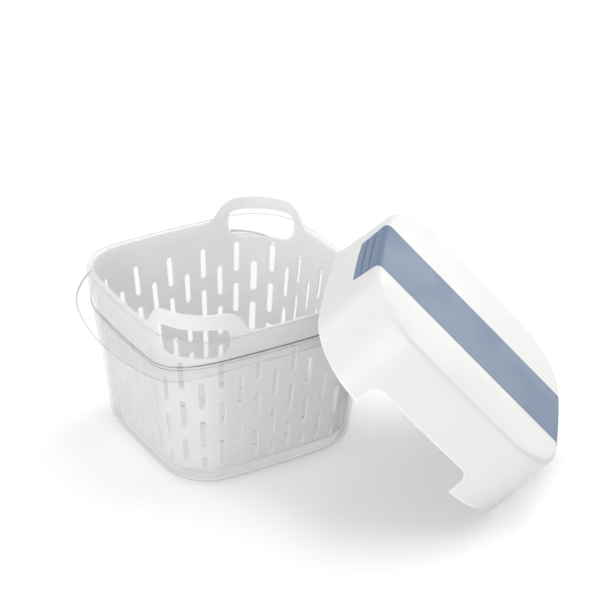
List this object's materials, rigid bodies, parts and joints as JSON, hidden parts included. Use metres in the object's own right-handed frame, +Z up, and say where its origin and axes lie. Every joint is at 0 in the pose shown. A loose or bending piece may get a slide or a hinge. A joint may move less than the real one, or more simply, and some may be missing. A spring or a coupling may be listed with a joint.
{
  "type": "produce storage container",
  "caption": "Clear countertop keeper with a slotted lift-out basket inside and a deep white lid with a soft blue band, shown taken off and leaning on it.",
  "frame": {"origin": "centre of the container's flat base, on the surface it stands on", "axes": "+Z up; the hand holds are on the +Y and -Y sides; the lid leans over the corner between +X and +Y"},
  "size_m": [0.3068, 0.3027, 0.1635],
  "materials": {
    "clear_plastic": "clear polished plastic",
    "frosted_plastic": "frosted translucent plastic",
    "white_plastic": "white satin plastic",
    "soft_blue": "slate-blue soft-touch"
  },
  "bodies": {
    "container": {"container": "clear_plastic"},
    "basket": {"basket": "frosted_plastic"},
    "lid": {"lid": "white_plastic", "lid_band": "soft_blue"}
  },
  "joints": [
    {"name": "lid_lift", "type": "slide", "parent": "container", "child": "lid", "axis": [0, 0, 1], "range_m": [0, 0.3]},
    {"name": "basket_lift", "type": "slide", "parent": "container", "child": "basket", "axis": [0, 0, 1], "range_m": [0, 0.15]}
  ],
  "couplings": [
    {"joint": "basket_lift", "follows": "lid_lift", "ratio": 0.5}
  ]
}
